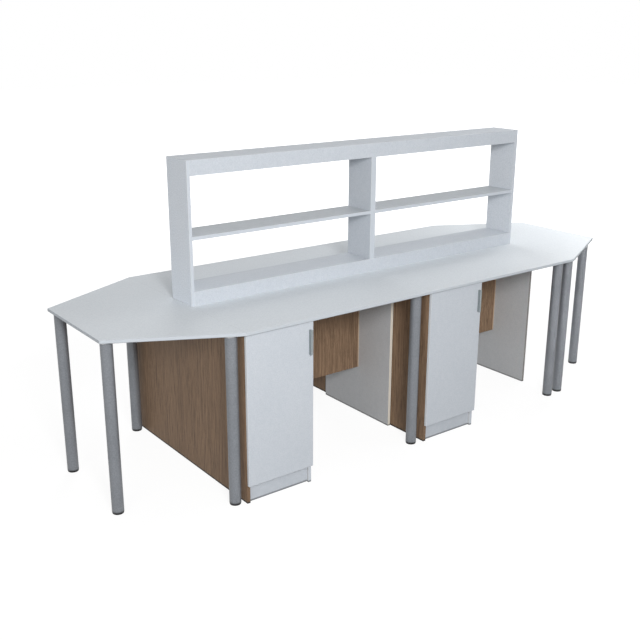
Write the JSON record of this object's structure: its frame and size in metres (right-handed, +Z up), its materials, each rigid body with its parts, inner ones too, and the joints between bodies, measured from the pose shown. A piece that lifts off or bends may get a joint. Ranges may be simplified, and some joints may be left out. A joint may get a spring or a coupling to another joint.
{
  "type": "laboratory island bench",
  "caption": "Double-sided island laboratory bench with trapezoid end tables, hinged cupboards, round legs and an open two-level reagent shelf on top",
  "frame": {"origin": "on the floor, under the centre of the bench's footprint", "axes": "+X runs along the bench to the right as seen from the front, +Y from the front to the back, +Z up"},
  "size_m": [3.6, 1.25, 1.652],
  "materials": {
    "worktop_laminate": "light grey high-pressure laminate, fine satin grain",
    "wood_laminate": "brown wood-grain melamine, upright grain, matte",
    "white_board": "white melamine-faced chipboard with a cream edge band",
    "door_laminate": "pale grey melamine-faced board, satin",
    "shelf_laminate": "pale grey melamine-faced board, satin",
    "handle_metal": "satin anodised grey",
    "hinge_steel": "nickel-plated pressed steel",
    "leg_paint": "satin grey powder coat",
    "foot_plastic": "black moulded plastic",
    "support_plastic": "light grey moulded plastic",
    "plate_steel": "zinc-plated steel"
  },
  "bodies": {
    "frame": {"desk_worktop_left": "worktop_laminate", "desk_worktop_right": "worktop_laminate", "end_panel_left": "wood_laminate", "end_panel_right": "wood_laminate", "end_worktop_left": "worktop_laminate", "end_worktop_right": "worktop_laminate", "hinge_arms": "hinge_steel", "hinge_mounting_plates": "hinge_steel", "inner_shelves": "white_board", "leg_feet": "foot_plastic", "leg_plates": "plate_steel", "legs_desk_left": "leg_paint", "legs_desk_right": "leg_paint", "legs_end_left_inner": "leg_paint", "legs_end_left_outer": "leg_paint", "legs_end_right_inner": "leg_paint", "legs_end_right_outer": "leg_paint", "middle_shelf_left": "shelf_laminate", "middle_shelf_right": "shelf_laminate", "modesty_panel_back_left": "wood_laminate", "modesty_panel_back_right": "wood_laminate", "modesty_panel_front_left": "wood_laminate", "modesty_panel_front_right": "wood_laminate", "pedestal_bottom_left": "white_board", "pedestal_bottom_right": "white_board", "pedestal_partition_left": "white_board", "pedestal_partition_right": "white_board", "pedestal_plinths": "white_board", "pedestal_side_left": "white_board", "pedestal_side_right": "white_board", "pedestal_top_rails": "white_board", "shelf_base_board": "shelf_laminate", "shelf_base_fascia_back": "shelf_laminate", "shelf_base_fascia_front": "shelf_laminate", "shelf_divider": "shelf_laminate", "shelf_side_left": "shelf_laminate", "shelf_side_right": "shelf_laminate", "shelf_supports": "support_plastic", "shelf_top_board": "shelf_laminate", "shelf_top_fascia_back": "shelf_laminate", "shelf_top_fascia_front": "shelf_laminate", "support_panel_left": "white_board", "support_panel_right": "white_board"},
    "link_front_left": {"hinge_links_front_left": "hinge_steel"},
    "leaf_front_left": {"door_front_left": "door_laminate", "handle_front_left": "handle_metal", "hinge_cups_front_left": "hinge_steel"},
    "link_back_left": {"hinge_links_back_left": "hinge_steel"},
    "leaf_back_left": {"door_back_left": "door_laminate", "handle_back_left": "handle_metal", "hinge_cups_back_left": "hinge_steel"},
    "link_front_right": {"hinge_links_front_right": "hinge_steel"},
    "leaf_front_right": {"door_front_right": "door_laminate", "handle_front_right": "handle_metal", "hinge_cups_front_right": "hinge_steel"},
    "link_back_right": {"hinge_links_back_right": "hinge_steel"},
    "leaf_back_right": {"door_back_right": "door_laminate", "handle_back_right": "handle_metal", "hinge_cups_back_right": "hinge_steel"}
  },
  "joints": [
    {"name": "hinge_swing_front_left", "type": "hinge", "parent": "frame", "child": "link_front_left", "pos_m": [-1.17, -0.586, 0.4955], "axis": [0, 0, 1], "range_deg": [0, 23.75]},
    {"name": "door_swing_front_left", "type": "hinge", "parent": "link_front_left", "child": "leaf_front_left", "pos_m": [-1.19, -0.5955, 0.4955], "axis": [0, 0, -1], "range_deg": [0, 118.75]},
    {"name": "hinge_swing_back_left", "type": "hinge", "parent": "frame", "child": "link_back_left", "pos_m": [-1.17, 0.586, 0.4955], "axis": [0, 0, -1], "range_deg": [0, 23.75]},
    {"name": "door_swing_back_left", "type": "hinge", "parent": "link_back_left", "child": "leaf_back_left", "pos_m": [-1.19, 0.5955, 0.4955], "axis": [0, 0, 1], "range_deg": [0, 118.75]},
    {"name": "hinge_swing_front_right", "type": "hinge", "parent": "frame", "child": "link_front_right", "pos_m": [0.03, -0.586, 0.4955], "axis": [0, 0, 1], "range_deg": [0, 23.75]},
    {"name": "door_swing_front_right", "type": "hinge", "parent": "link_front_right", "child": "leaf_front_right", "pos_m": [0.01, -0.5955, 0.4955], "axis": [0, 0, -1], "range_deg": [0, 118.75]},
    {"name": "hinge_swing_back_right", "type": "hinge", "parent": "frame", "child": "link_back_right", "pos_m": [0.03, 0.586, 0.4955], "axis": [0, 0, -1], "range_deg": [0, 23.75]},
    {"name": "door_swing_back_right", "type": "hinge", "parent": "link_back_right", "child": "leaf_back_right", "pos_m": [0.01, 0.5955, 0.4955], "axis": [0, 0, 1], "range_deg": [0, 118.75]}
  ],
  "couplings": [
    {"joint": "hinge_swing_front_left", "follows": "door_swing_front_left", "ratio": 0.2},
    {"joint": "hinge_swing_back_left", "follows": "door_swing_back_left", "ratio": 0.2},
    {"joint": "hinge_swing_front_right", "follows": "door_swing_front_right", "ratio": 0.2},
    {"joint": "hinge_swing_back_right", "follows": "door_swing_back_right", "ratio": 0.2}
  ]
}
